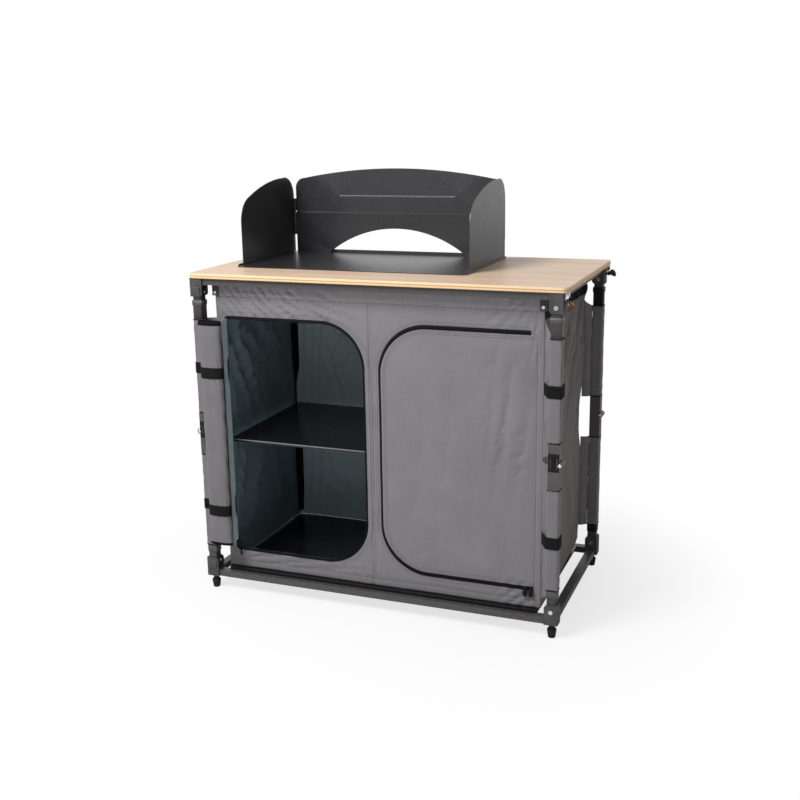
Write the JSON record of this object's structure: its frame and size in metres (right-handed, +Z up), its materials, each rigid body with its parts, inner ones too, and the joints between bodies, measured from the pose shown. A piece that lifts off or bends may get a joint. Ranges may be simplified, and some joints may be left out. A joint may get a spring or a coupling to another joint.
{
  "type": "camping kitchen unit",
  "caption": "Folding camp kitchen: knee-jointed frame, hung cloth cupboard with zipped doors and a shelf, wooden top and a hinged sheet-metal windshield.",
  "frame": {"origin": "on the ground at the middle of the four feet", "axes": "+X right seen from the doors, +Y back towards the windshield's tall screen, +Z up"},
  "size_m": [0.9291, 0.5022, 1.0209],
  "materials": {
    "bamboo": "satin lacquered bamboo",
    "frame_paint": "satin powder coat",
    "bracket_plastic": "moulded, fine grain",
    "knee_housing_paint": "satin powder coat",
    "latch_plastic": "moulded",
    "foot_rubber": "matt",
    "rivet_steel": "bright",
    "grey_cloth": "woven, coated",
    "black_strap": "webbing",
    "zip_tape": "woven tape",
    "zip_metal": "black enamel",
    "board_black": "smooth coated board",
    "screen_paint": "satin powder coat",
    "lever_bronze": "dark bronze plating"
  },
  "bodies": {
    "base": {"bottom_brackets": "bracket_plastic", "bottom_rivets": "rivet_steel", "bottom_rails": "frame_paint", "base_board": "board_black", "cloth_cupboard": "grey_cloth", "zip_tapes": "zip_tape", "rolled_door": "grey_cloth", "roll_straps": "black_strap"},
    "top_frame": {"top_brackets": "bracket_plastic", "top_rivets": "rivet_steel", "top_rails": "frame_paint", "tabletop": "bamboo", "cloth_hangers": "bracket_plastic", "tabletop_catches": "rivet_steel"},
    "shelf": {"shelf_board": "board_black"},
    "door": {"right_door": "grey_cloth"},
    "slider_outer": {"zip_slider_outer": "zip_metal"},
    "slider_inner": {"zip_slider_inner": "zip_metal"},
    "tab_outer": {"pull_tab_outer": "zip_metal"},
    "tab_inner": {"pull_tab_inner": "zip_metal"},
    "lever_front": {"toggle_lever_front": "lever_bronze"},
    "lever_back": {"toggle_lever_back": "lever_bronze"},
    "windshield": {"screen_plate": "screen_paint", "back_screen": "screen_paint"},
    "left_wing": {"wing_left": "screen_paint"},
    "right_wing": {"wing_right": "screen_paint"},
    "lower_leg_front_left": {"lower_leg_tube_front_left": "frame_paint", "lower_knee_housing_front_left": "knee_housing_paint", "lower_sleeve_front_left": "grey_cloth"},
    "upper_leg_front_left": {"upper_leg_tube_front_left": "frame_paint", "upper_knee_housing_front_left": "bracket_plastic", "upper_sleeve_front_left": "grey_cloth"},
    "latch_front_left": {"knee_latch_front_left": "latch_plastic"},
    "levelling_foot_front_left": {"foot_front_left": "foot_rubber"},
    "lower_leg_front_right": {"lower_leg_tube_front_right": "frame_paint", "lower_knee_housing_front_right": "knee_housing_paint", "lower_sleeve_front_right": "grey_cloth"},
    "upper_leg_front_right": {"upper_leg_tube_front_right": "frame_paint", "upper_knee_housing_front_right": "bracket_plastic", "upper_sleeve_front_right": "grey_cloth"},
    "latch_front_right": {"knee_latch_front_right": "latch_plastic"},
    "levelling_foot_front_right": {"foot_front_right": "foot_rubber"},
    "lower_leg_back_left": {"lower_leg_tube_back_left": "frame_paint", "lower_knee_housing_back_left": "knee_housing_paint", "lower_sleeve_back_left": "grey_cloth"},
    "upper_leg_back_left": {"upper_leg_tube_back_left": "frame_paint", "upper_knee_housing_back_left": "bracket_plastic", "upper_sleeve_back_left": "grey_cloth"},
    "latch_back_left": {"knee_latch_back_left": "latch_plastic"},
    "levelling_foot_back_left": {"foot_back_left": "foot_rubber"},
    "lower_leg_back_right": {"lower_leg_tube_back_right": "frame_paint", "lower_knee_housing_back_right": "knee_housing_paint", "lower_sleeve_back_right": "grey_cloth"},
    "upper_leg_back_right": {"upper_leg_tube_back_right": "frame_paint", "upper_knee_housing_back_right": "bracket_plastic", "upper_sleeve_back_right": "grey_cloth"},
    "latch_back_right": {"knee_latch_back_right": "latch_plastic"},
    "levelling_foot_back_right": {"foot_back_right": "foot_rubber"}
  },
  "joints": [
    {"name": "fold", "type": "hinge", "parent": "base", "child": "lower_leg_front_left", "pos_m": [-0.434, -0.221, 0.066], "axis": [0, 1, 0], "range_deg": [0, 85], "deforming": ["cloth_cupboard", "zip_tapes", "rolled_door", "roll_straps", "right_door"]},
    {"name": "fold_front_right", "type": "hinge", "parent": "base", "child": "lower_leg_front_right", "pos_m": [0.434, -0.221, 0.066], "axis": [0, -1, 0], "range_deg": [0, 85]},
    {"name": "fold_back_left", "type": "hinge", "parent": "base", "child": "lower_leg_back_left", "pos_m": [-0.434, 0.221, 0.066], "axis": [0, 1, 0], "range_deg": [0, 85]},
    {"name": "fold_back_right", "type": "hinge", "parent": "base", "child": "lower_leg_back_right", "pos_m": [0.434, 0.221, 0.066], "axis": [0, -1, 0], "range_deg": [0, 85]},
    {"name": "knee_front_left", "type": "hinge", "parent": "lower_leg_front_left", "child": "upper_leg_front_left", "pos_m": [-0.448, -0.221, 0.411], "axis": [0, -1, 0], "range_deg": [0, 170]},
    {"name": "knee_front_right", "type": "hinge", "parent": "lower_leg_front_right", "child": "upper_leg_front_right", "pos_m": [0.448, -0.221, 0.411], "axis": [0, 1, 0], "range_deg": [0, 170]},
    {"name": "knee_back_left", "type": "hinge", "parent": "lower_leg_back_left", "child": "upper_leg_back_left", "pos_m": [-0.448, 0.221, 0.411], "axis": [0, -1, 0], "range_deg": [0, 170]},
    {"name": "knee_back_right", "type": "hinge", "parent": "lower_leg_back_right", "child": "upper_leg_back_right", "pos_m": [0.448, 0.221, 0.411], "axis": [0, 1, 0], "range_deg": [0, 170]},
    {"name": "top_pivot", "type": "hinge", "parent": "upper_leg_front_left", "child": "top_frame", "pos_m": [-0.434, -0.221, 0.756], "axis": [0, 1, 0], "range_deg": [0, 85]},
    {"name": "shelf_drop", "type": "slide", "parent": "base", "child": "shelf", "axis": [0, 0, -1], "range_m": [0, 0.275]},
    {"name": "latch_push_front_left", "type": "slide", "parent": "upper_leg_front_left", "child": "latch_front_left", "axis": [0, 1, 0], "range_m": [0, 0.003], "stiffness_N_per_m": 400, "springref_m": -0.001},
    {"name": "foot_screw_front_left", "type": "slide", "parent": "base", "child": "levelling_foot_front_left", "axis": [0, 0, -1], "range_m": [0, 0.012]},
    {"name": "latch_push_front_right", "type": "slide", "parent": "upper_leg_front_right", "child": "latch_front_right", "axis": [0, 1, 0], "range_m": [0, 0.003], "stiffness_N_per_m": 400, "springref_m": -0.001},
    {"name": "foot_screw_front_right", "type": "slide", "parent": "base", "child": "levelling_foot_front_right", "axis": [0, 0, -1], "range_m": [0, 0.012]},
    {"name": "latch_push_back_left", "type": "slide", "parent": "upper_leg_back_left", "child": "latch_back_left", "axis": [0, -1, 0], "range_m": [0, 0.003], "stiffness_N_per_m": 400, "springref_m": -0.001},
    {"name": "foot_screw_back_left", "type": "slide", "parent": "base", "child": "levelling_foot_back_left", "axis": [0, 0, -1], "range_m": [0, 0.012]},
    {"name": "latch_push_back_right", "type": "slide", "parent": "upper_leg_back_right", "child": "latch_back_right", "axis": [0, -1, 0], "range_m": [0, 0.003], "stiffness_N_per_m": 400, "springref_m": -0.001},
    {"name": "foot_screw_back_right", "type": "slide", "parent": "base", "child": "levelling_foot_back_right", "axis": [0, 0, -1], "range_m": [0, 0.012]},
    {"name": "door_swing", "type": "hinge", "parent": "base", "child": "door", "pos_m": [0.388, -0.2, 0.4065], "axis": [0, 0, 1], "range_deg": [0, 110]},
    {"name": "zip_outer", "type": "slide", "parent": "base", "child": "slider_outer", "axis": [-1, 0, 0], "range_m": [0, 0.08]},
    {"name": "zip_inner", "type": "slide", "parent": "slider_outer", "child": "slider_inner", "axis": [-1, 0, 0], "range_m": [0, 0.08]},
    {"name": "tab_outer_swing", "type": "hinge", "parent": "slider_outer", "child": "tab_outer", "pos_m": [0.38, -0.2055, 0.09925], "axis": [-1, 0, 0], "range_deg": [0, 100]},
    {"name": "tab_inner_swing", "type": "hinge", "parent": "slider_inner", "child": "tab_inner", "pos_m": [0.366, -0.2055, 0.09925], "axis": [-1, 0, 0], "range_deg": [0, 100]},
    {"name": "lever_front_swing", "type": "hinge", "parent": "top_frame", "child": "lever_front", "pos_m": [0.454, -0.221, 0.768], "axis": [0, -1, 0], "range_deg": [0, 80]},
    {"name": "lever_back_swing", "type": "hinge", "parent": "top_frame", "child": "lever_back", "pos_m": [0.454, 0.221, 0.768], "axis": [0, -1, 0], "range_deg": [-65, 15]},
    {"name": "windshield_lift", "type": "slide", "parent": "top_frame", "child": "windshield", "axis": [0, 0, 1], "range_m": [0, 0.3]},
    {"name": "left_wing_swing", "type": "hinge", "parent": "windshield", "child": "left_wing", "pos_m": [-0.38575, 0.2085, 0.896], "axis": [0, 0, 1], "range_deg": [0, 88]},
    {"name": "right_wing_swing", "type": "hinge", "parent": "windshield", "child": "right_wing", "pos_m": [0.19475, 0.2035, 0.896], "axis": [0, 0, -1], "range_deg": [0, 88]}
  ],
  "couplings": [
    {"joint": "fold_front_right", "follows": "fold", "ratio": 1},
    {"joint": "fold_back_left", "follows": "fold", "ratio": 1},
    {"joint": "fold_back_right", "follows": "fold", "ratio": 1},
    {"joint": "knee_front_left", "follows": "fold", "ratio": 2},
    {"joint": "knee_front_right", "follows": "fold", "ratio": 2},
    {"joint": "knee_back_left", "follows": "fold", "ratio": 2},
    {"joint": "knee_back_right", "follows": "fold", "ratio": 2},
    {"joint": "top_pivot", "follows": "fold", "ratio": 1},
    {"joint": "shelf_drop", "follows": "fold", "m_per_rad": 0.184}
  ]
}
